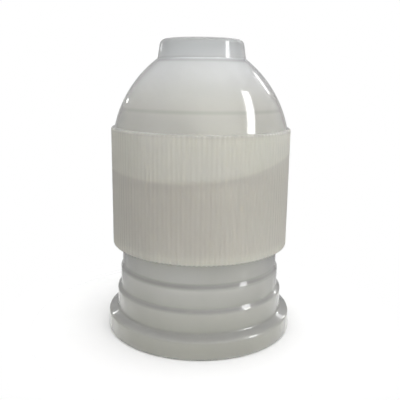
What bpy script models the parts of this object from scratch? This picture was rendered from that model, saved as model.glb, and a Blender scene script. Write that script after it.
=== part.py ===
"""Two-piece coupler for a piping bag, moulded in natural polypropylene.

The base goes inside the bag: a stepped foot, a barrel and a conical nose, open from end to end.
The ring nut goes over the bag and the barrel: a ribbed skirt, a dome and a short neck.
Both are turned about Z. The base stands on z = 0, and the nut's origin is the middle of its lower edge.
Lengths are in metres.
"""

import math

import bmesh
import bpy
from mathutils import Vector

# Ring nut, heights from its lower edge
RIB_COUNT = 126
RIB_CREST_RADIUS = 0.0190
RIB_DEPTH = 0.00015
SKIRT_HEIGHT = 0.0250
SKIRT_WALL = 0.00155
DOME_SETBACK = 0.0006
DOME_RISE = 0.0140
DOME_ARC_RADIUS = 0.0240
DOME_WALL = 0.0014
NECK_ROOT_RADIUS = 0.0092
NECK_TOP_RADIUS = 0.0086
NECK_HEIGHT = 0.0039
NECK_BORE_RADIUS = 0.0072
NECK_FILLET = 0.0004
RIM_ROUND = 0.0013
RIM_BORE_ROUND = 0.0002

# Fit between the two pieces
SEAT_GAP = 0.0003
PILOT_CLEARANCE = 0.0003
PILOT_REACH = 0.0025

# Coupler base, heights from the bottom of its foot
SHOULDER_HEIGHT = 0.0478
SHOULDER_ROUND = 0.0002
BARREL_RADIUS = 0.0152
BARREL_FILLET = 0.0004
BASE_WALL = 0.0016
NOSE_ROOT_RADIUS = 0.0107
NOSE_TOP_RADIUS = 0.0076
NOSE_WALL = 0.0014
NOSE_ROUND = 0.0004
PILOT_ROUND = 0.0006
UPPER_STEP_HEIGHT = 0.0144
UPPER_STEP_DROP = 0.0009
UPPER_TIER_RADIUS = 0.0174
MIDDLE_STEP_HEIGHT = 0.0095
MIDDLE_STEP_DROP = 0.0007
MIDDLE_TIER_RADIUS = 0.0182
LOWER_STEP_HEIGHT = 0.0047
LOWER_STEP_DROP = 0.0010
FOOT_RADIUS = 0.0202
FOOT_FLARE = 0.00025
FOOT_EDGE_ROUND = 0.0003
STEP_FILLET = 0.0006
LEDGE_WALL = 0.0012

# Fineness of the turned forms
TURN_STEPS = 48
FILLET_SEGMENTS = 2
DOME_SEGMENTS = 9
WELD_DISTANCE = 0.000001

# Natural polypropylene, polished on the base and left matt by the ribs on the nut
PLASTIC_COLOUR = (0.58, 0.58, 0.55, 1.0)
POLISHED_ROUGHNESS = 0.28
MATT_ROUGHNESS = 0.42

# Sizes that follow from the ones above
RIB_ROOT_RADIUS = RIB_CREST_RADIUS - RIB_DEPTH
SKIRT_BORE_RADIUS = RIB_ROOT_RADIUS - SKIRT_WALL
DOME_FOOT_RADIUS = RIB_ROOT_RADIUS - DOME_SETBACK
NECK_ROOT_HEIGHT = SKIRT_HEIGHT + DOME_RISE
RIM_HEIGHT = NECK_ROOT_HEIGHT + NECK_HEIGHT
PILOT_RADIUS = SKIRT_BORE_RADIUS - PILOT_CLEARANCE


def arc_centre(start, end, radius):
    """Centre of the arc of a given radius that bulges outwards between two points of a profile."""
    chord = end - start
    to_centre = math.sqrt(radius ** 2 - (chord.length / 2) ** 2)
    inwards = Vector((-chord.y, chord.x)).normalized()
    return (start + end) / 2 + inwards * to_centre


DOME_FOOT = Vector((DOME_FOOT_RADIUS, SKIRT_HEIGHT))
NECK_ROOT = Vector((NECK_ROOT_RADIUS, NECK_ROOT_HEIGHT))
DOME_CENTRE = arc_centre(DOME_FOOT, NECK_ROOT, DOME_ARC_RADIUS)


def dome_height(inset, radius):
    """Height in the nut where the dome's surface, taken inwards by inset, has a given radius."""
    return DOME_CENTRE.y + math.sqrt((DOME_ARC_RADIUS - inset) ** 2 - (radius - DOME_CENTRE.x) ** 2)


def dome_radius(inset, height):
    """Radius of the dome's surface, taken inwards by inset, at a given height in the nut."""
    return DOME_CENTRE.x + math.sqrt((DOME_ARC_RADIUS - inset) ** 2 - (height - DOME_CENTRE.y) ** 2)


def arc_points(centre, start, end, segments):
    """Points of the shorter arc about a centre, from start to end, both included."""
    first = math.atan2(start.y - centre.y, start.x - centre.x)
    last = math.atan2(end.y - centre.y, end.x - centre.x)
    sweep = math.remainder(last - first, math.tau)
    radius = (start - centre).length
    points = []
    for step in range(segments + 1):
        angle = first + sweep * step / segments
        points.append(centre + Vector((math.cos(angle), math.sin(angle))) * radius)
    return points


def sharp(points):
    """Corners with no fillet, for points that already follow a curve."""
    return [(point.x, point.y, 0.0) for point in points]


def rounded(corners):
    """Closed outline through corners of (radius, height, fillet).

    Two fillets that would meet on a short side are shrunk until both fit on it.
    """
    count = len(corners)
    places = [Vector(corner[:2]) for corner in corners]
    halves = []
    reaches = []
    for index in range(count):
        before = places[index - 1] - places[index]
        after = places[(index + 1) % count] - places[index]
        halves.append(before.angle(after) / 2)
        reaches.append(corners[index][2] / math.tan(halves[index]))

    outline = []
    for index, place in enumerate(places):
        if reaches[index] == 0.0:
            outline.append(place)
            continue
        before = places[index - 1] - place
        after = places[(index + 1) % count] - place
        room = min(before.length / (reaches[index] + reaches[index - 1]),
                   after.length / (reaches[index] + reaches[(index + 1) % count]))
        reach = reaches[index] * min(1.0, room)
        inwards = (before.normalized() + after.normalized()).normalized()
        centre = place + inwards * reach / math.cos(halves[index])
        outline += arc_points(centre, place + before.normalized() * reach,
                              place + after.normalized() * reach, FILLET_SEGMENTS)
    return outline


def nut_seat_height():
    """Height of the nut's lower edge when its dome rests on the shoulder of the barrel."""
    return SHOULDER_HEIGHT - dome_height(DOME_WALL + SEAT_GAP, BARREL_RADIUS)


def nut_outline():
    """Half section of the nut without its ribs, down the outside and up the inside."""
    inner_foot_radius = dome_radius(DOME_WALL, SKIRT_HEIGHT)
    bore_end_height = SKIRT_HEIGHT - (SKIRT_BORE_RADIUS - inner_foot_radius)
    inner_foot = Vector((inner_foot_radius, SKIRT_HEIGHT))
    inner_top = Vector((NECK_BORE_RADIUS, dome_height(DOME_WALL, NECK_BORE_RADIUS)))
    return rounded([
        (NECK_BORE_RADIUS, RIM_HEIGHT, RIM_BORE_ROUND),
        (NECK_TOP_RADIUS, RIM_HEIGHT, RIM_ROUND),
        (NECK_ROOT_RADIUS, NECK_ROOT_HEIGHT, NECK_FILLET),
        *sharp(arc_points(DOME_CENTRE, NECK_ROOT, DOME_FOOT, DOME_SEGMENTS)[1:]),
        (DOME_FOOT_RADIUS, 0.0, 0.0),
        (SKIRT_BORE_RADIUS, 0.0, 0.0),
        (SKIRT_BORE_RADIUS, bore_end_height, 0.0),
        *sharp(arc_points(DOME_CENTRE, inner_foot, inner_top, DOME_SEGMENTS)),
    ])


def base_outline():
    """Half section of the base, down the outside and up the inside."""
    nose_height = nut_seat_height() + dome_height(DOME_WALL + SEAT_GAP, NOSE_TOP_RADIUS)
    pilot_height = nut_seat_height() + PILOT_REACH
    foot_radius = FOOT_RADIUS + FOOT_FLARE
    barrel_bore = BARREL_RADIUS - BASE_WALL
    steps = (
        (UPPER_STEP_HEIGHT, UPPER_STEP_DROP, PILOT_RADIUS, UPPER_TIER_RADIUS),
        (MIDDLE_STEP_HEIGHT, MIDDLE_STEP_DROP, UPPER_TIER_RADIUS, MIDDLE_TIER_RADIUS),
        (LOWER_STEP_HEIGHT, LOWER_STEP_DROP, MIDDLE_TIER_RADIUS, FOOT_RADIUS),
    )
    outside = [
        (NOSE_TOP_RADIUS - NOSE_WALL, nose_height, NOSE_ROUND),
        (NOSE_TOP_RADIUS, nose_height, NOSE_ROUND),
        (NOSE_ROOT_RADIUS, SHOULDER_HEIGHT, NOSE_ROUND),
        (BARREL_RADIUS, SHOULDER_HEIGHT, SHOULDER_ROUND),
        (BARREL_RADIUS, pilot_height, BARREL_FILLET),
        (PILOT_RADIUS, pilot_height, PILOT_ROUND),
    ]
    for height, drop, above, below in steps:
        outside.append((above, height, STEP_FILLET))
        outside.append((below, height - drop, STEP_FILLET))
    outside.append((foot_radius, 0.0, FOOT_EDGE_ROUND))

    inside = [(foot_radius - BASE_WALL, 0.0, FOOT_EDGE_ROUND)]
    for height, drop, above, below in reversed(steps):
        inside.append((below - BASE_WALL, height - drop - LEDGE_WALL, STEP_FILLET))
        inside.append((above - BASE_WALL, height - LEDGE_WALL, STEP_FILLET))
    inside += [
        (PILOT_RADIUS - BASE_WALL, pilot_height - BASE_WALL, PILOT_ROUND),
        (barrel_bore, pilot_height - BASE_WALL, BARREL_FILLET),
        (barrel_bore, SHOULDER_HEIGHT - BASE_WALL, BARREL_FILLET),
        (NOSE_ROOT_RADIUS - NOSE_WALL, SHOULDER_HEIGHT - BASE_WALL, NOSE_ROUND),
    ]
    return rounded(outside + inside)


def new_collection(name):
    """Collection of that name in the scene."""
    collection = bpy.data.collections.new(name)
    bpy.context.scene.collection.children.link(collection)
    return collection


def plastic(name, roughness):
    """Milky plastic of one roughness."""
    material = bpy.data.materials.new(name)
    material.use_nodes = True
    shader = material.node_tree.nodes["Principled BSDF"]
    shader.inputs["Base Color"].default_value = PLASTIC_COLOUR
    shader.inputs["Roughness"].default_value = roughness
    shader.inputs["Metallic"].default_value = 0.0
    return material


def turned(name, outline, material, collection):
    """Object whose closed half section is turned about Z by a Screw modifier."""
    vertices = [(point.x, 0.0, point.y) for point in outline]
    edges = [(index, (index + 1) % len(vertices)) for index in range(len(vertices))]
    mesh = bpy.data.meshes.new(name)
    mesh.from_pydata(vertices, edges, [])
    mesh.materials.append(material)
    piece = bpy.data.objects.new(name, mesh)
    collection.objects.link(piece)
    turn = piece.modifiers.new("turn", "SCREW")
    turn.axis = "Z"
    turn.angle = math.tau
    turn.steps = TURN_STEPS
    turn.render_steps = TURN_STEPS
    turn.use_merge_vertices = True
    turn.merge_threshold = WELD_DISTANCE
    turn.use_smooth_shade = True
    return piece


def add_outline(curve, radii):
    """Closed flat outline in a curve, with one point at each radius, evenly round the axis."""
    spline = curve.splines.new("POLY")
    spline.points.add(len(radii) - 1)
    spline.use_cyclic_u = True
    for index, point in enumerate(spline.points):
        angle = math.tau * index / len(radii)
        point.co = (radii[index] * math.cos(angle), radii[index] * math.sin(angle), 0.0, 1.0)


def rib_ring(material, collection):
    """Ring that carries the skirt's ribs, as a mesh that a Boolean can join to the nut."""
    curve = bpy.data.curves.new("rib_ring", "CURVE")
    curve.dimensions = "2D"
    curve.fill_mode = "BOTH"
    curve.extrude = SKIRT_HEIGHT / 2
    add_outline(curve, [RIB_CREST_RADIUS, RIB_ROOT_RADIUS] * RIB_COUNT)
    add_outline(curve, [(SKIRT_BORE_RADIUS + DOME_FOOT_RADIUS) / 2] * TURN_STEPS)
    flat = bpy.data.objects.new("rib_ring_outline", curve)
    flat.location.z = SKIRT_HEIGHT / 2
    collection.objects.link(flat)

    view_layer = bpy.context.view_layer
    view_layer.update()
    mesh = bpy.data.meshes.new_from_object(flat.evaluated_get(view_layer.depsgraph))
    cage = bmesh.new()
    cage.from_mesh(mesh)
    bmesh.ops.remove_doubles(cage, verts=cage.verts, dist=WELD_DISTANCE)
    cage.to_mesh(mesh)
    cage.free()
    mesh.materials.clear()
    mesh.materials.append(material)
    ring = bpy.data.objects.new("rib_ring", mesh)
    ring.matrix_world = flat.matrix_world
    ring.hide_render = True
    ring.display_type = "WIRE"
    collection.objects.link(ring)
    bpy.data.objects.remove(flat)
    bpy.data.curves.remove(curve)
    return ring


def ring_nut(parts, cutters):
    """Domed nut with a ribbed skirt, seated on the base."""
    material = plastic("ribbed plastic", MATT_ROUGHNESS)
    nut = turned("ring_nut", nut_outline(), material, parts)
    ribs = rib_ring(material, cutters)
    ribs.parent = nut
    join = nut.modifiers.new("ribs", "BOOLEAN")
    join.operation = "UNION"
    join.solver = "EXACT"
    join.object = ribs
    nut.location.z = nut_seat_height()
    return nut


def coupler_base(parts):
    """Open base with a stepped foot, a barrel and a conical nose."""
    return turned("coupler_base", base_outline(), plastic("polished plastic", POLISHED_ROUGHNESS), parts)


def main():
    """Build the coupler in an empty scene."""
    for old in list(bpy.data.objects):
        bpy.data.objects.remove(old)
    parts = new_collection("piping_bag_coupler")
    cutters = new_collection("cutters")
    coupler_base(parts)
    ring_nut(parts, cutters)


main()
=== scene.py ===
"""Looks of a two-piece piping bag coupler in milky polypropylene, around its packed frame."""

import math
from typing import NamedTuple

import bpy
from mathutils import Euler, Matrix, Vector


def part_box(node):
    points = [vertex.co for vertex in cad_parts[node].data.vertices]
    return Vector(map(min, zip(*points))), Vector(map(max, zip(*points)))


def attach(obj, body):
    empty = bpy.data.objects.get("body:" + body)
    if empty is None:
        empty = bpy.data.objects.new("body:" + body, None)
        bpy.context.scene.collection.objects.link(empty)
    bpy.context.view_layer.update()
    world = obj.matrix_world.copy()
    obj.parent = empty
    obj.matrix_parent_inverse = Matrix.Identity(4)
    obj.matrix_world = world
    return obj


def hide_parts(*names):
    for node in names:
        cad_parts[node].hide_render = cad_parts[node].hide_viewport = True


bl_info = {
    "name": "Piping Bag Coupler",
    "version": (1, 0, 0),
    "blender": (4, 5, 0),
    "location": "3D View > Sidebar > Coupler",
    "description": "Models the base and the ring nut of a piping bag coupler and sets them on a pale floor",
    "category": "Object",
}

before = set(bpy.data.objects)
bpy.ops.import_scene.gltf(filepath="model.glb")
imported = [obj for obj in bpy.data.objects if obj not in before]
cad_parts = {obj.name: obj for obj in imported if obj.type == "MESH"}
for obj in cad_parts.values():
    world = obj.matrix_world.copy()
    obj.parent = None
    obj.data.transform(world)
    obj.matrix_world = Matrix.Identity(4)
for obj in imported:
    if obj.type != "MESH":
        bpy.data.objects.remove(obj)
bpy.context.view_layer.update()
BASE_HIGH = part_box("coupler_base")[1]
NUT_LOW, NUT_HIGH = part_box("ring_nut")

FULL_TURN = math.tau
FRONT_ANGLE = -math.pi / 2
ORIGIN = (0.0, 0.0, 0.0)
UPWARDS = (0.0, 0.0, 1.0)

# Fineness of the meshes
BASE_STEPS = 192
FILLET_SEGMENTS = 5
DOME_SEGMENTS = 28
THREAD_STEPS = 128
RUN_OUT_STEPS = 12
SMOOTH_ANGLE = math.radians(40.0)
SEED_SIZE = 0.001
WELD_DISTANCE = 0.000002

# Heights over the groove of the columns across one rib, as shares of the rib's depth
RIB_SECTION = (1.0, 0.75, 0.25, 0.0, 0.25, 0.75)


# Sizes and colours that a user would change


def length(name, description, default):
    """Length property in metres."""
    return bpy.props.FloatProperty(
        name=name, description=description, default=default, min=0.0, precision=5, unit="LENGTH")


def share(name, description, default):
    """Number from 0 to 1."""
    return bpy.props.FloatProperty(
        name=name, description=description, default=default, min=0.0, max=1.0, subtype="FACTOR")


def colour(name, description, default):
    """Colour property in linear light."""
    return bpy.props.FloatVectorProperty(
        name=name, description=description, default=default, size=3, min=0.0, max=1.0, subtype="COLOR")


class CouplerNutSizes(bpy.types.PropertyGroup):
    """Sizes of the ring nut, heights from its lower edge"""

    rib_count: bpy.props.IntProperty(
        name="Ribs", description="Number of ribs round the skirt", default=126, min=12)
    crest_radius: length("Rib crest radius", "Radius over the ribs", NUT_HIGH.x)
    rib_depth: length("Rib depth", "Depth of the grooves between the ribs", 0.00015)
    skirt_height: length("Skirt height", "Height of the ribbed skirt", 0.0250)
    skirt_bore: length("Skirt bore", "Inside radius of the skirt", 0.0173)
    dome_foot_radius: length("Dome foot radius", "Outside radius of the dome above the ribs", 0.01825)
    dome_rise: length("Dome rise", "Height of the dome", 0.0140)
    dome_arc: length("Dome arc", "Radius of the dome's profile", 0.0240)
    dome_wall: length("Dome wall", "Thickness of the dome", 0.0014)
    neck_root_radius: length("Neck root radius", "Outside radius where the neck meets the dome", 0.0092)
    neck_top_radius: length("Neck top radius", "Outside radius under the rim's rounding", 0.0086)
    neck_bore: length("Neck bore", "Inside radius of the neck", 0.0072)
    neck_fillet: length("Neck fillet", "Fillet between the neck and the dome", 0.0004)
    rim_round: length("Rim round", "Rounding of the neck's outer edge", 0.0013)
    ledge_round: length("Ledge round", "Rounding of the ribs' upper ends", 0.0005)
    edge_round: length("Edge round", "Rounding of the other edges", 0.0002)


class CouplerBaseSizes(bpy.types.PropertyGroup):
    """Sizes of the base, heights from the bottom of its foot"""

    foot_radius: length("Foot radius", "Radius at the bottom of the foot", BASE_HIGH.x)
    foot_flare: length("Foot flare", "How much the foot widens to its bottom", 0.00025)
    middle_radius: length("Middle tier radius", "Radius of the tier above the foot", 0.0182)
    upper_radius: length("Upper tier radius", "Radius of the tier below the pilot", 0.0174)
    pilot_radius: length("Pilot radius", "Radius of the tier that enters the nut", 0.0170)
    lower_step: length("Lower step", "Height of the step above the foot", 0.0047)
    lower_drop: length("Lower drop", "Fall of the lower step's ledge", 0.0010)
    middle_step: length("Middle step", "Height of the middle step", 0.0095)
    middle_drop: length("Middle drop", "Fall of the middle step's ledge", 0.0007)
    upper_step: length("Upper step", "Height of the upper step", 0.0144)
    upper_drop: length("Upper drop", "Fall of the upper step's ledge", 0.0009)
    step_fillet: length("Step fillet", "Fillet of each step", 0.0006)
    pilot_reach: length("Pilot reach", "How far the pilot enters the nut", 0.0025)
    barrel_radius: length("Barrel radius", "Radius of the barrel between the threads", 0.0152)
    shoulder_height: length("Shoulder height", "Height of the barrel's shoulder", 0.0478)
    shoulder_round: length("Shoulder round", "Rounding of the barrel's shoulder", 0.0002)
    nose_root_radius: length("Nose root radius", "Radius of the nose at the shoulder", 0.0107)
    nose_top_radius: length("Nose top radius", "Radius of the nose at its tip", 0.0076)
    nose_wall: length("Nose wall", "Thickness of the nose", 0.0014)
    wall: length("Wall", "Thickness of the base's wall", 0.0016)
    ledge_wall: length("Ledge wall", "Thickness under each step", 0.0012)
    edge_round: length("Edge round", "Rounding of the other edges", 0.0004)


class CouplerThreadSizes(bpy.types.PropertyGroup):
    """Sizes of the right-hand thread"""

    lead: length("Lead", "Rise in one turn", 0.0090)
    turns: bpy.props.FloatProperty(
        name="Turns", description="Turns of each ridge", default=1.25, min=0.25)
    front_height: length("Front height", "Height of the barrel's ridge at the front", 0.0360)
    root_width: length("Root width", "Width of a ridge at its root", 0.0022)
    crest_width: length("Crest width", "Width of a ridge at its crest", 0.0010)
    sink: length("Sink", "How far a ridge's root lies inside its wall", 0.0003)
    play: length("Play", "Gap between the two ridges", 0.00015)
    barrel_crest: length("Barrel crest", "Radius of the crest on the barrel", 0.0166)
    nut_crest: length("Nut crest", "Radius of the crest in the nut", 0.0158)


class CouplerFinish(bpy.types.PropertyGroup):
    """Milky polypropylene"""

    base_milk: colour("Base milk", "Colour of the base above its steps", (0.96, 0.96, 0.91))
    # Painted shade: colour that the bottom of the foot is darkened to
    painted_foot_shade: colour("Foot milk", "Colour at the bottom of the foot", (0.61, 0.61, 0.55))
    # Painted shade: colour that the base's step corners and the nut's ledge, shoulder line, neck root and
    # neck top are darkened towards
    painted_shade_colour: colour("Corner shade", "Colour in thick corners", (0.54, 0.54, 0.53))
    skirt_milk: colour("Skirt milk", "Colour of the skirt above its thread line", (0.97, 0.95, 0.87))
    # Painted shade: colour of the skirt below the thread's line
    skirt_painted_shade: colour("Skirt shade", "Colour of the skirt below its thread line", (0.85, 0.83, 0.775))
    dome_milk: colour("Dome milk", "Colour of the dome's lower half", (0.97, 0.96, 0.90))
    neck_milk: colour("Neck milk", "Colour of the neck", (0.93, 0.95, 0.96))
    flow: share("Flow marks", "How much the faint flow marks darken the plastic", 0.04)
    base_clear: share("Base clear", "Share of light that passes through a face of the base", 0.69)
    dome_clear: share("Dome clear", "Share of light that passes through a face of the dome", 0.72)
    skirt_clear: share("Skirt clear", "Share of light that passes through a face of the skirt", 0.64)
    base_frost: share("Base frost", "How much the base blurs what is seen through it", 0.20)
    dome_frost: share("Dome frost", "How much the dome blurs what is seen through it", 0.06)
    skirt_frost: share("Skirt frost", "How much the skirt blurs what is seen through it", 0.70)
    neck_haze: share("Neck haze", "How far the neck is from the dome's finish to the skirt's", 0.30)
    polish: share("Polish", "Gloss on the base, the dome and the neck", 1.0)
    rib_polish: share("Rib polish", "Gloss on the ribbed skirt", 0.04)
    scatter: length("Scatter", "Depth that light scatters to in the plastic", 0.0020)


class CouplerStage(bpy.types.PropertyGroup):
    """Floor under the coupler"""

    floor: colour("Floor", "Colour of the floor", (0.74, 0.74, 0.74))


PROPERTY_GROUPS = {
    "coupler_nut": CouplerNutSizes,
    "coupler_base": CouplerBaseSizes,
    "coupler_thread": CouplerThreadSizes,
    "coupler_finish": CouplerFinish,
    "coupler_stage": CouplerStage,
}


# Half sections, in radius and height


def arc_points(centre, start, end, segments):
    """Points of the shorter arc about a centre, from start to end, both included."""
    first = math.atan2(start.y - centre.y, start.x - centre.x)
    last = math.atan2(end.y - centre.y, end.x - centre.x)
    sweep = math.remainder(last - first, FULL_TURN)
    radius = (start - centre).length
    points = []
    for step in range(segments + 1):
        angle = first + sweep * step / segments
        points.append(centre + Vector((math.cos(angle), math.sin(angle))) * radius)
    return points


def arc_centre(start, end, radius):
    """Centre of the arc of a given radius that bulges outwards between two points of a profile."""
    chord = end - start
    to_centre = math.sqrt(radius ** 2 - (chord.length / 2) ** 2)
    return (start + end) / 2 + Vector((-chord.y, chord.x)).normalized() * to_centre


def sharp(points):
    """Corners with no fillet, for points that already follow a curve."""
    return [(point.x, point.y, 0.0) for point in points]


def rounded(corners):
    """Closed outline through corners of (radius, height, fillet); fillets shrink to fit short sides."""
    count = len(corners)
    places = [Vector(corner[:2]) for corner in corners]
    halves = []
    reaches = []
    for index in range(count):
        before = places[index - 1] - places[index]
        after = places[(index + 1) % count] - places[index]
        halves.append(before.angle(after) / 2)
        reaches.append(corners[index][2] / math.tan(halves[index]))

    outline = []
    for index, place in enumerate(places):
        if reaches[index] == 0.0:
            outline.append(place)
            continue
        before = places[index - 1] - place
        after = places[(index + 1) % count] - place
        room = min(before.length / (reaches[index] + reaches[index - 1]),
                   after.length / (reaches[index] + reaches[(index + 1) % count]))
        reach = reaches[index] * min(1.0, room)
        inwards = (before.normalized() + after.normalized()).normalized()
        centre = place + inwards * reach / math.cos(halves[index])
        outline += arc_points(centre, place + before.normalized() * reach,
                              place + after.normalized() * reach, FILLET_SEGMENTS)
    return outline


class Dome:
    """Arc of the nut's dome, in the frame's heights."""

    def __init__(self, nut):
        self.foot = Vector((nut.dome_foot_radius, NUT_LOW.z + nut.skirt_height))
        self.top = Vector((nut.neck_root_radius, self.foot.y + nut.dome_rise))
        self.centre = arc_centre(self.foot, self.top, nut.dome_arc)
        self.radius = nut.dome_arc

    def height_at(self, inset, radius):
        """Height where the arc, taken inwards by inset, has a given radius."""
        return self.centre.y + math.sqrt((self.radius - inset) ** 2 - (radius - self.centre.x) ** 2)

    def radius_at(self, inset, height):
        """Radius of the arc, taken inwards by inset, at a given height."""
        return self.centre.x + math.sqrt((self.radius - inset) ** 2 - (height - self.centre.y) ** 2)


def nut_outline(nut):
    """Half section of the nut over its rib crests, down the outside and up the inside."""
    dome = Dome(nut)
    inner_foot = Vector((dome.radius_at(nut.dome_wall, dome.foot.y), dome.foot.y))
    bore_end = dome.foot.y - (nut.skirt_bore - inner_foot.x)
    inner_top = Vector((nut.neck_bore, dome.height_at(nut.dome_wall, nut.neck_bore)))
    return rounded([
        (nut.neck_bore, NUT_HIGH.z, nut.edge_round),
        (nut.neck_top_radius, NUT_HIGH.z, nut.rim_round),
        (dome.top.x, dome.top.y, nut.neck_fillet),
        *sharp(arc_points(dome.centre, dome.top, dome.foot, DOME_SEGMENTS)[1:]),
        (nut.crest_radius, dome.foot.y, nut.ledge_round),
        (nut.crest_radius, NUT_LOW.z, nut.edge_round),
        (nut.skirt_bore, NUT_LOW.z, nut.edge_round),
        (nut.skirt_bore, bore_end, 0.0),
        *sharp(arc_points(dome.centre, inner_foot, inner_top, DOME_SEGMENTS)),
    ])


def base_outline(base):
    """Half section of the base, down the outside and up the inside."""
    pilot_top = NUT_LOW.z + base.pilot_reach
    barrel_bore = base.barrel_radius - base.wall
    nose_bore = base.nose_top_radius - base.nose_wall
    foot_top_radius = base.foot_radius - base.foot_flare
    steps = (
        (base.upper_step, base.upper_drop, base.pilot_radius, base.upper_radius),
        (base.middle_step, base.middle_drop, base.upper_radius, base.middle_radius),
        (base.lower_step, base.lower_drop, base.middle_radius, foot_top_radius),
    )
    corners = [
        (nose_bore, BASE_HIGH.z, base.edge_round),
        (base.nose_top_radius, BASE_HIGH.z, base.edge_round),
        (base.nose_root_radius, base.shoulder_height, base.edge_round),
        (base.barrel_radius, base.shoulder_height, base.shoulder_round),
        (base.barrel_radius, pilot_top, base.edge_round),
        (base.pilot_radius, pilot_top, base.step_fillet),
    ]
    for height, drop, above, below in steps:
        corners.append((above, height, base.step_fillet))
        corners.append((below, height - drop, base.step_fillet))
    corners.append((base.foot_radius, 0.0, base.edge_round))
    corners.append((base.foot_radius - base.wall, 0.0, base.edge_round))
    for height, drop, above, below in reversed(steps):
        corners.append((below - base.wall, height - drop - base.ledge_wall, base.step_fillet))
        corners.append((above - base.wall, height - base.ledge_wall, base.step_fillet))
    corners += [
        (base.pilot_radius - base.wall, pilot_top - base.wall, base.step_fillet),
        (barrel_bore, pilot_top - base.wall, base.edge_round),
        (barrel_bore, base.shoulder_height - base.wall, base.edge_round),
        (base.nose_root_radius - base.nose_wall, base.shoulder_height - base.wall, base.edge_round),
    ]
    return rounded(corners)


# Modelling


def select_where(piece, test):
    """Opens a piece in edit mode with only the vertices selected that pass a test."""
    bpy.ops.object.mode_set(mode="EDIT")
    bpy.ops.mesh.select_mode(type="VERT")
    bpy.ops.mesh.select_all(action="DESELECT")
    bpy.ops.object.mode_set(mode="OBJECT")
    for vertex in piece.data.vertices:
        vertex.select = test(vertex)
    bpy.ops.object.mode_set(mode="EDIT")


def scale_where(piece, test, ratio):
    """Scales the distance from the Z axis of the vertices that pass a test."""
    select_where(piece, test)
    bpy.ops.transform.resize(value=(ratio, ratio, 1.0), center_override=ORIGIN)
    bpy.ops.object.mode_set(mode="OBJECT")


def draw_loop(name, outline):
    """New object in edit mode whose mesh is the closed outline, extruded from point to point."""
    bpy.ops.object.select_all(action="DESELECT")
    bpy.ops.mesh.primitive_plane_add(size=SEED_SIZE, location=ORIGIN)
    piece = bpy.context.object
    piece.name = name
    piece.data.name = name
    bpy.ops.object.mode_set(mode="EDIT")
    bpy.ops.mesh.select_all(action="SELECT")
    bpy.ops.mesh.merge(type="CENTER")
    bpy.ops.transform.translate(value=(outline[0].x, 0.0, outline[0].y))
    for here, there in zip(outline, outline[1:]):
        step = there - here
        bpy.ops.mesh.extrude_vertices_move(TRANSFORM_OT_translate={"value": (step.x, 0.0, step.y)})
    ends = [Vector((end.x, 0.0, end.y)) for end in (outline[0], outline[-1])]
    select_where(piece, lambda vertex: min((vertex.co - end).length for end in ends) < WELD_DISTANCE)
    bpy.ops.mesh.edge_face_add()
    bpy.ops.mesh.select_all(action="SELECT")
    return piece


def spin_loop(name, outline, steps, angle):
    """Outline spun about the Z axis in a number of steps, in object mode."""
    piece = draw_loop(name, outline)
    bpy.ops.mesh.spin(steps=steps, angle=angle, center=ORIGIN, axis=UPWARDS)
    bpy.ops.object.mode_set(mode="OBJECT")
    return piece


def close_surface(piece):
    """Welds doubled vertices and turns all faces outwards."""
    bpy.context.view_layer.objects.active = piece
    bpy.ops.object.mode_set(mode="EDIT")
    bpy.ops.mesh.select_all(action="SELECT")
    bpy.ops.mesh.remove_doubles(threshold=WELD_DISTANCE)
    bpy.ops.mesh.normals_make_consistent(inside=False)
    bpy.ops.object.mode_set(mode="OBJECT")


def apply_modifier(piece, kind, **settings):
    """Adds a modifier, sets it up and applies it."""
    modifier = piece.modifiers.new(kind.lower(), kind)
    for name, value in settings.items():
        setattr(modifier, name, value)
    bpy.context.view_layer.objects.active = piece
    bpy.ops.object.modifier_apply(modifier=modifier.name)


def press_groove(piece, nut):
    """Draws the skirt of a one-rib slice in to the groove's depth, column by column."""
    column_angle = FULL_TURN / nut.rib_count / len(RIB_SECTION)
    skirt_top = NUT_LOW.z + nut.skirt_height + WELD_DISTANCE
    inside_ribs = (nut.dome_foot_radius + nut.crest_radius - nut.rib_depth) / 2

    def rib_column(vertex):
        """Column of a vertex on the skirt's outside, and None elsewhere."""
        x, y, z = vertex.co
        if z < skirt_top and math.hypot(x, y) > inside_ribs:
            return round(abs(math.atan2(y, x)) / column_angle)
        return None

    for column, rise in enumerate(RIB_SECTION):
        ratio = 1.0 - (1.0 - rise) * nut.rib_depth / nut.crest_radius
        scale_where(piece, lambda vertex: rib_column(vertex) == column, ratio)


def repeat_round(piece, count):
    """Repeats a slice round the Z axis until it closes."""
    bpy.ops.object.empty_add(rotation=(0.0, 0.0, FULL_TURN / count))
    turn = bpy.context.object
    apply_modifier(
        piece, "ARRAY", count=count, use_relative_offset=False, use_object_offset=True, offset_object=turn)
    bpy.data.objects.remove(turn)
    close_surface(piece)


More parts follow.
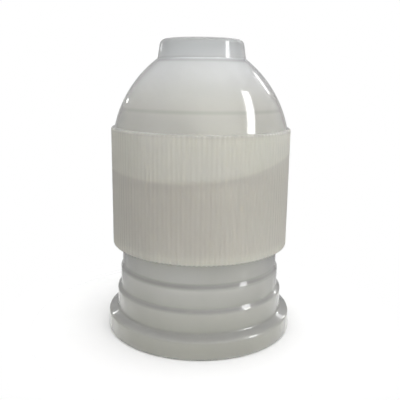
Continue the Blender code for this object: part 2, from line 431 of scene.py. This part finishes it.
def draw_thread(name, thread, root_radius, crest_radius, front_height):
    """Closed helical ridge whose root lies inside the wall, run out to nothing at both ends."""
    sunk_radius = root_radius + math.copysign(thread.sink, root_radius - crest_radius)
    rise = thread.lead * thread.turns
    sweep = FULL_TURN * thread.turns
    low_height = front_height - rise / 2
    section = [
        Vector((sunk_radius, low_height - thread.root_width / 2)),
        Vector((crest_radius, low_height - thread.crest_width / 2)),
        Vector((crest_radius, low_height + thread.crest_width / 2)),
        Vector((sunk_radius, low_height + thread.root_width / 2)),
    ]
    ridge = draw_loop(name, section)
    # A positive value turns clockwise here, seen from above
    bpy.ops.transform.rotate(value=sweep / 2 - FRONT_ANGLE, orient_axis="Z", center_override=ORIGIN)
    bpy.ops.object.mode_set(mode="OBJECT")
    steps = round(THREAD_STEPS * thread.turns)
    apply_modifier(
        ridge, "SCREW", axis="Z", angle=sweep, screw_offset=rise, steps=steps, render_steps=steps)

    def crest_row(vertex):
        """Row along the ridge of a vertex on its crest, and None elsewhere."""
        if abs(math.hypot(vertex.co.x, vertex.co.y) - crest_radius) < WELD_DISTANCE:
            return vertex.index // len(section)
        return None

    for step in range(RUN_OUT_STEPS):
        height = (step + 1) / (RUN_OUT_STEPS + 1)
        ratio = 1.0 - (1.0 - height) * (1.0 - sunk_radius / crest_radius)
        scale_where(ridge, lambda vertex: crest_row(vertex) in (step, steps - step), ratio)
    bpy.ops.object.mode_set(mode="EDIT")
    bpy.ops.mesh.select_all(action="SELECT")
    bpy.ops.mesh.fill_holes(sides=len(section))
    bpy.ops.mesh.select_all(action="SELECT")
    bpy.ops.mesh.normals_make_consistent(inside=False)
    bpy.ops.object.mode_set(mode="OBJECT")
    return ridge


def join_thread(piece, ridge):
    """Makes the ridge one solid with the wall it grows from."""
    apply_modifier(piece, "BOOLEAN", operation="UNION", solver="EXACT", object=ridge)
    bpy.data.objects.remove(ridge)


def finish_piece(piece, node, body, material):
    """Smooths a piece, paints it and sets it in place of its CAD node."""
    bpy.ops.object.select_all(action="DESELECT")
    piece.select_set(True)
    bpy.context.view_layer.objects.active = piece
    bpy.ops.object.shade_smooth_by_angle(angle=SMOOTH_ANGLE)
    piece.data.materials.clear()
    piece.data.materials.append(material)
    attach(piece, body)
    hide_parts(node)


# Shader graphs

# Places of a Mix node's colour sockets, whose names it shares with its other kinds
MIX_FACTOR = 0
MIX_FIRST = 6
MIX_SECOND = 7
MIX_RESULT = 2


class Wire:
    """Socket of a shader graph that plain arithmetic works on."""

    def __init__(self, graph, socket):
        self.graph = graph
        self.socket = socket

    def __add__(self, other):
        return self.graph.math("ADD", self, other)

    def __radd__(self, other):
        return self.graph.math("ADD", other, self)

    def __sub__(self, other):
        return self.graph.math("SUBTRACT", self, other)

    def __rsub__(self, other):
        return self.graph.math("SUBTRACT", other, self)

    def __mul__(self, other):
        return self.graph.math("MULTIPLY", self, other)

    def __rmul__(self, other):
        return self.graph.math("MULTIPLY", other, self)

    def __truediv__(self, other):
        return self.graph.math("DIVIDE", self, other)

    def __rtruediv__(self, other):
        return self.graph.math("DIVIDE", other, self)

    def __abs__(self):
        return self.graph.math("ABSOLUTE", self)

    def most(self, other):
        """Larger of two values."""
        return self.graph.math("MAXIMUM", self, other)

    def ramp(self, low, high):
        """0 at low and before it, 1 at high and past it, smooth between."""
        return self.graph.out("ShaderNodeMapRange", "Result", {"interpolation_type": "SMOOTHSTEP"}, {
            "Value": self, "From Min": low, "From Max": high})


class Graph:
    """Shader graph that is written as expressions."""

    def __init__(self, owner):
        owner.use_nodes = True
        self.tree = owner.node_tree
        self.tree.nodes.clear()

    def node(self, kind, settings=None, inputs=None):
        """Node of any kind: settings first, then a number, a colour or a wire for each socket."""
        node = self.tree.nodes.new(kind)
        for name, value in (settings or {}).items():
            setattr(node, name, value)
        for name, value in (inputs or {}).items():
            socket = node.inputs[name]
            if isinstance(value, Wire):
                self.tree.links.new(value.socket, socket)
            elif socket.type == "RGBA":
                socket.default_value = (*value, 1.0)
            else:
                socket.default_value = value
        return node

    def out(self, kind, output, settings=None, inputs=None):
        """One output of a node as a wire."""
        return Wire(self, self.node(kind, settings, inputs).outputs[output])

    def math(self, operation, *values):
        """Result of a Math node on the given values."""
        return self.out("ShaderNodeMath", "Value", {"operation": operation}, dict(enumerate(values)))

    def coordinates(self):
        """Object coordinates."""
        return self.out("ShaderNodeTexCoord", "Object")

    def place(self, axis):
        """Object coordinate along X, Y or Z."""
        return self.out("ShaderNodeSeparateXYZ", axis, inputs={"Vector": self.coordinates()})

    def noise(self, scale, detail):
        """Noise in object coordinates, from 0 to 1."""
        return self.out("ShaderNodeTexNoise", "Fac", inputs={
            "Vector": self.coordinates(), "Scale": scale, "Detail": detail})

    def blend(self, factor, first, second):
        """Colour between two colours."""
        return self.out("ShaderNodeMix", MIX_RESULT, {"data_type": "RGBA"}, {
            MIX_FACTOR: factor, MIX_FIRST: first, MIX_SECOND: second})


# Plastic

PLASTIC_IOR = 1.49
COAT_ROUGHNESS = 0.06
EVEN_SCATTER = (1.0, 1.0, 1.0)

# Noise: flow marks in the colour, uneven frost, and ripples on the surface with their depth in metres
FLOW_SCALE = 70.0
FLOW_DETAIL = 3.0
FLOW_START = 0.35
FLOW_END = 0.65
FROST_DETAIL = 2.0
FROST_SPREAD = 0.06
RIPPLE_SCALE = 900.0
RIPPLE_DETAIL = 2.0
RIPPLE_DEPTH = 0.00001

# Painted shade line of the thread inside the skirt: how far its ends bend up, and where and to what tone it
# fades at the back
LINE_BEND = 0.0025
BACK_FADE = 0.55 * math.pi
BACK_TONE = 0.5

# Zones of the nut: reaches in metres, how far the painted light on the skirt's lower rim reaches, and how
# strong the painted shade is at the ledge, over the shoulder and on the neck
ZONE_BLUR = 0.0004
PAINTED_RIM_LIGHT_HEIGHT = 0.0025
LEDGE_FADE = 0.0002
LEDGE_SHADE = 0.30
SHOULDER_REACH = 0.0006
SHOULDER_SHADE = 0.38
ROOT_REACH = 0.0005
ROOT_SHADE = 0.50
RIM_SHADE = 0.50


def milky_plastic(graph, finish, milk, clear, frost, polish):
    """Shader of partly clear, partly milky polypropylene under a glossy skin."""
    flow = 1.0 - finish.flow * graph.noise(FLOW_SCALE, FLOW_DETAIL).ramp(FLOW_START, FLOW_END)
    ripple = RIPPLE_DEPTH * graph.noise(RIPPLE_SCALE, RIPPLE_DETAIL)
    return graph.out("ShaderNodeBsdfPrincipled", "BSDF", {"subsurface_method": "RANDOM_WALK"}, {
        "Base Color": graph.out("ShaderNodeVectorMath", "Vector", {"operation": "SCALE"}, {
            "Vector": milk, "Scale": flow}),
        "Roughness": frost + FROST_SPREAD * graph.noise(FLOW_SCALE, FROST_DETAIL),
        "Normal": graph.out("ShaderNodeBump", "Normal", inputs={"Distance": 1.0, "Height": ripple}),
        "IOR": PLASTIC_IOR,
        "Transmission Weight": clear,
        "Subsurface Weight": 1.0,
        "Subsurface Radius": EVEN_SCATTER,
        "Subsurface Scale": finish.scatter,
        "Coat Weight": polish,
        "Coat Roughness": COAT_ROUGHNESS,
        "Coat IOR": PLASTIC_IOR,
    })


def ring_mask(height, ring_height, reach):
    """1 at a height, fading to 0 at a reach above and below it."""
    return abs(height - ring_height).ramp(reach, 0.0)


def polished_plastic(finish, base):
    """Plastic of the base, glossy all over, with painted shade in the corners of its steps and towards the
    bottom of its foot.
    """
    material = bpy.data.materials.new("polished_plastic")
    graph = Graph(material)
    height = graph.place("Z")
    # Painted shade: rings of darker colour over each step's corner and ledge
    lower = ring_mask(height, base.lower_step - base.lower_drop / 2, base.lower_drop)
    middle = ring_mask(height, base.middle_step - base.middle_drop / 2, base.middle_drop)
    upper = ring_mask(height, base.upper_step - base.upper_drop / 2, base.upper_drop)
    # Painted shade: the base is darker towards the bottom of its foot
    milk = graph.blend(height.ramp(0.0, base.upper_step), finish.painted_foot_shade, finish.base_milk)
    milk = graph.blend(lower.most(middle).most(upper), milk, finish.painted_shade_colour)
    shader = milky_plastic(graph, finish, milk, finish.base_clear, finish.base_frost, finish.polish)
    graph.node("ShaderNodeOutputMaterial", inputs={"Surface": shader})
    return material


def skirt_colour(graph, height, finish, nut, thread):
    """Colour of the skirt: painted shade below the line of the thread inside it, and painted light on its
    lower rim.
    """
    across = graph.place("X")
    turn = graph.math("ARCTAN2", across, 0.0 - graph.place("Y"))
    sideways = across / nut.crest_radius
    line = (thread.front_height - thread.root_width / 2 + turn * (thread.lead / FULL_TURN)
            + LINE_BEND * (sideways * sideways))
    above = (height - line).ramp(-ZONE_BLUR, ZONE_BLUR)
    above = above + abs(turn).ramp(BACK_FADE, math.pi) * (BACK_TONE - above)
    # Painted light: the skirt's lowest rim is lighter
    painted_rim_light = 1.0 - (height - NUT_LOW.z).ramp(0.0, PAINTED_RIM_LIGHT_HEIGHT)
    return graph.blend(above.most(painted_rim_light), finish.skirt_painted_shade, finish.skirt_milk)


def nut_painted_shades(height, dome, nut, base):
    """How dark the painted shade makes the nut at its ledge, over the base's shoulder, and at the neck's
    root and rim.
    """
    ledge_foot = dome.foot.y - nut.ledge_round
    past_ledge = height.ramp(dome.foot.y - LEDGE_FADE, dome.foot.y)
    ledge = LEDGE_SHADE * (height.ramp(ledge_foot - nut.ledge_round, ledge_foot) - past_ledge)
    # Painted shade line where the base's shoulder shows through the dome
    shoulder = SHOULDER_SHADE * ring_mask(height, base.shoulder_height, SHOULDER_REACH)
    root = ROOT_SHADE * ring_mask(height, dome.top.y - ROOT_REACH, ROOT_REACH)
    rim = RIM_SHADE * height.ramp(dome.top.y, NUT_HIGH.z)
    return ledge.most(shoulder).most(root).most(rim)


def ribbed_plastic(finish, nut, base, thread):
    """Plastic of the nut: clear and glossy on the dome, hazier on the neck, milky and matt on the skirt."""
    material = bpy.data.materials.new("ribbed_plastic")
    graph = Graph(material)
    height = graph.place("Z")
    dome = Dome(nut)
    on_dome = height.ramp(dome.foot.y - ZONE_BLUR, dome.foot.y)
    on_neck = height.ramp(dome.top.y - ZONE_BLUR, dome.top.y + ZONE_BLUR)
    to_neck = height.ramp(base.shoulder_height, dome.top.y)
    milk = graph.blend(on_dome, skirt_colour(graph, height, finish, nut, thread), finish.dome_milk)
    milk = graph.blend(to_neck, milk, finish.neck_milk)
    # Painted shade: the colour darkens at the ledge, over the shoulder, at the neck's root and towards the
    # neck's top
    milk = graph.blend(nut_painted_shades(height, dome, nut, base), milk, finish.painted_shade_colour)
    matt = milky_plastic(graph, finish, milk, finish.skirt_clear, finish.skirt_frost, finish.rib_polish)
    glossy = milky_plastic(graph, finish, milk, finish.dome_clear, finish.dome_frost, finish.polish)
    glossiness = on_dome - finish.neck_haze * on_neck
    mixed = graph.out("ShaderNodeMixShader", "Shader", inputs={0: glossiness, 1: matt, 2: glossy})
    graph.node("ShaderNodeOutputMaterial", inputs={"Surface": mixed})
    return material


# Stage

FLOOR_RADIUS = 0.30
FLOOR_SIDES = 96
FLOOR_DROP = 0.00002
FADE_START = 0.020
FADE_END = 0.048

# World: white for the camera, and the levels of the room that lights the plastic and of what it mirrors
WHITE = (1.0, 1.0, 1.0)
HORIZON_LEVEL = 0.25
OVERHEAD_LEVEL = 1.70
MIRRORED_LEVEL = 0.40

# Camera: where it stands, and a focal length that fits the photograph's perspective, in its pixels
CAMERA_DISTANCE = 0.1184
CAMERA_HEIGHT = 0.0539
CAMERA_PITCH = math.radians(12.44)
CAMERA_ROLL = math.radians(0.74)
PICTURE_SIDE = 400
FOCAL_PIXELS = 549.8
SENSOR_WIDTH = 36.0
NEAR_CLIP = 0.001
FAR_CLIP = 10.0


class LightBox(NamedTuple):
    """Area light whose height lies along a direction, and that is only mirrored or never mirrored."""

    name: str
    place: tuple
    along: tuple
    width: float
    height: float
    power: float
    mirrored: bool


LIGHT_TARGET = Vector((0.0, 0.0, 0.035))
LIGHTS = (
    LightBox("window_right", (0.252, -0.072, 0.180), (-0.118, 0.298, 0.367), 0.055, 0.238, 0.32, True),
    LightBox("window_back", (0.575, 0.710, 0.451), (-0.139, 0.029, 0.144), 0.080, 0.202, 0.16, True),
    LightBox("lamp_right", (0.082, 0.063, 0.037), UPWARDS, 0.007, 0.007, 0.0035, True),
    LightBox("lamp_back", (-0.190, 0.219, 0.113), UPWARDS, 0.008, 0.008, 0.003, True),
    LightBox("soft_top", (0.040, 0.060, 0.300), UPWARDS, 0.240, 0.240, 0.20, False),
    LightBox("soft_front", (0.100, -0.250, 0.160), UPWARDS, 0.360, 0.260, 0.44, False),
)


def floor_material(stage):
    """Pale floor that fades out to the white background."""
    material = bpy.data.materials.new("floor")
    graph = Graph(material)
    distance = graph.out("ShaderNodeVectorMath", "Value", {"operation": "LENGTH"}, {0: graph.coordinates()})
    shader = graph.out("ShaderNodeBsdfPrincipled", "BSDF", inputs={
        "Base Color": stage.floor,
        "Roughness": 1.0,
        "Specular IOR Level": 0.0,
        "Alpha": 1.0 - distance.ramp(FADE_START, FADE_END),
    })
    graph.node("ShaderNodeOutputMaterial", inputs={"Surface": shader})
    return material


def add_floor(stage):
    """Round floor under the foot."""
    bpy.ops.mesh.primitive_circle_add(
        vertices=FLOOR_SIDES, radius=FLOOR_RADIUS, fill_type="NGON", location=(0.0, 0.0, -FLOOR_DROP))
    floor = bpy.context.object
    floor.name = "floor"
    bpy.ops.object.transform_apply(location=True, rotation=False, scale=False)
    floor.data.materials.append(floor_material(stage))


def add_lights():
    """Light boxes that all face the middle of the object."""
    for box in LIGHTS:
        bpy.ops.object.light_add(type="AREA", location=box.place)
        light = bpy.context.object
        light.name = box.name
        light.data.name = box.name
        light.data.shape = "RECTANGLE"
        light.data.size = box.width
        light.data.size_y = box.height
        light.data.energy = box.power
        light.visible_glossy = box.mirrored
        light.visible_diffuse = not box.mirrored
        back = (Vector(box.place) - LIGHT_TARGET).normalized()
        side = Vector(box.along).cross(back).normalized()
        light.rotation_euler = Matrix((side, back.cross(side), back)).transposed().to_euler()


def add_world():
    """White background for the camera, even grey in reflections, and else a room, brighter overhead."""
    world = bpy.data.worlds.new("studio")
    bpy.context.scene.world = world
    graph = Graph(world)
    direction = graph.out("ShaderNodeTexCoord", "Generated")
    upwards = graph.out("ShaderNodeSeparateXYZ", "Z", inputs={"Vector": direction})
    room = HORIZON_LEVEL + (OVERHEAD_LEVEL - HORIZON_LEVEL) * upwards.ramp(0.0, 1.0)
    camera = graph.out("ShaderNodeLightPath", "Is Camera Ray")
    through = graph.out("ShaderNodeLightPath", "Is Transmission Ray")
    mirrored = graph.out("ShaderNodeLightPath", "Is Glossy Ray") * (1.0 - through)
    unseen = mirrored * MIRRORED_LEVEL + (1.0 - mirrored) * room
    background = graph.out("ShaderNodeBackground", "Background", inputs={
        "Color": WHITE, "Strength": unseen * (1.0 - camera) + camera})
    graph.node("ShaderNodeOutputWorld", inputs={"Surface": background})


def add_camera():
    """Camera that matches the photograph's perspective."""
    bpy.ops.object.camera_add(location=(0.0, -CAMERA_DISTANCE, CAMERA_HEIGHT))
    camera = bpy.context.object
    camera.name = "camera"
    tilt = Euler((math.pi / 2 - CAMERA_PITCH, 0.0, 0.0)).to_matrix()
    camera.rotation_euler = (tilt @ Matrix.Rotation(CAMERA_ROLL, 3, "Z")).to_euler()
    camera.data.sensor_width = SENSOR_WIDTH
    camera.data.lens = SENSOR_WIDTH * FOCAL_PIXELS / PICTURE_SIDE
    camera.data.clip_start = NEAR_CLIP
    camera.data.clip_end = FAR_CLIP
    bpy.context.scene.camera = camera
    bpy.context.scene.view_settings.view_transform = "Standard"


# Operators and panel


class COUPLER_OT_base(bpy.types.Operator):
    """Model the base: stepped foot, barrel with a thread, and nose"""

    bl_idname = "coupler.base"
    bl_label = "Coupler Base"

    def execute(self, context):
        scene = context.scene
        base = scene.coupler_base
        thread = scene.coupler_thread
        piece = spin_loop("base_shell", base_outline(base), BASE_STEPS, FULL_TURN)
        close_surface(piece)
        ridge = draw_thread(
            "base_thread", thread, base.barrel_radius, thread.barrel_crest, thread.front_height)
        join_thread(piece, ridge)
        finish_piece(piece, "coupler_base", "base",
                     polished_plastic(scene.coupler_finish, base))
        return {"FINISHED"}


class COUPLER_OT_nut(bpy.types.Operator):
    """Model the ring nut: ribbed skirt with a thread, dome and neck"""

    bl_idname = "coupler.nut"
    bl_label = "Ring Nut"

    def execute(self, context):
        scene = context.scene
        nut = scene.coupler_nut
        thread = scene.coupler_thread
        piece = spin_loop("nut_shell", nut_outline(nut), len(RIB_SECTION), FULL_TURN / nut.rib_count)
        press_groove(piece, nut)
        repeat_round(piece, nut.rib_count)
        below_barrel_ridge = (thread.root_width + thread.crest_width) / 2 + thread.play
        ridge_height = thread.front_height - below_barrel_ridge
        ridge = draw_thread("nut_thread", thread, nut.skirt_bore, thread.nut_crest, ridge_height)
        join_thread(piece, ridge)
        finish_piece(piece, "ring_nut", "nut",
                     ribbed_plastic(scene.coupler_finish, nut, scene.coupler_base, thread))
        return {"FINISHED"}


class COUPLER_OT_stage(bpy.types.Operator):
    """Set up the floor, the lights, the world and the camera"""

    bl_idname = "coupler.stage"
    bl_label = "Studio Stage"

    def execute(self, context):
        add_floor(context.scene.coupler_stage)
        add_lights()
        add_world()
        add_camera()
        return {"FINISHED"}


OPERATORS = (COUPLER_OT_base, COUPLER_OT_nut, COUPLER_OT_stage)


class COUPLER_PT_panel(bpy.types.Panel):
    """Sizes and colours of the coupler"""

    bl_idname = "COUPLER_PT_panel"
    bl_label = "Piping Bag Coupler"
    bl_space_type = "VIEW_3D"
    bl_region_type = "UI"
    bl_category = "Coupler"

    def draw(self, context):
        for operator in OPERATORS:
            self.layout.operator(operator.bl_idname)
        for name, group in PROPERTY_GROUPS.items():
            column = self.layout.column(align=True)
            column.label(text=group.__doc__)
            for field in group.__annotations__:
                column.prop(getattr(context.scene, name), field)


def register():
    """Makes the properties, operators and panel known to Blender."""
    for name, group in PROPERTY_GROUPS.items():
        bpy.utils.register_class(group)
        setattr(bpy.types.Scene, name, bpy.props.PointerProperty(type=group))
    for operator in OPERATORS:
        bpy.utils.register_class(operator)
    bpy.utils.register_class(COUPLER_PT_panel)


def unregister():
    """Takes back what register() did."""
    bpy.utils.unregister_class(COUPLER_PT_panel)
    for operator in reversed(OPERATORS):
        bpy.utils.unregister_class(operator)
    for name, group in PROPERTY_GROUPS.items():
        delattr(bpy.types.Scene, name)
        bpy.utils.unregister_class(group)


def main():
    """Builds the pieces and the stage."""
    register()
    bpy.ops.coupler.base()
    bpy.ops.coupler.nut()
    bpy.ops.coupler.stage()


if __name__ == "__main__":
    main()
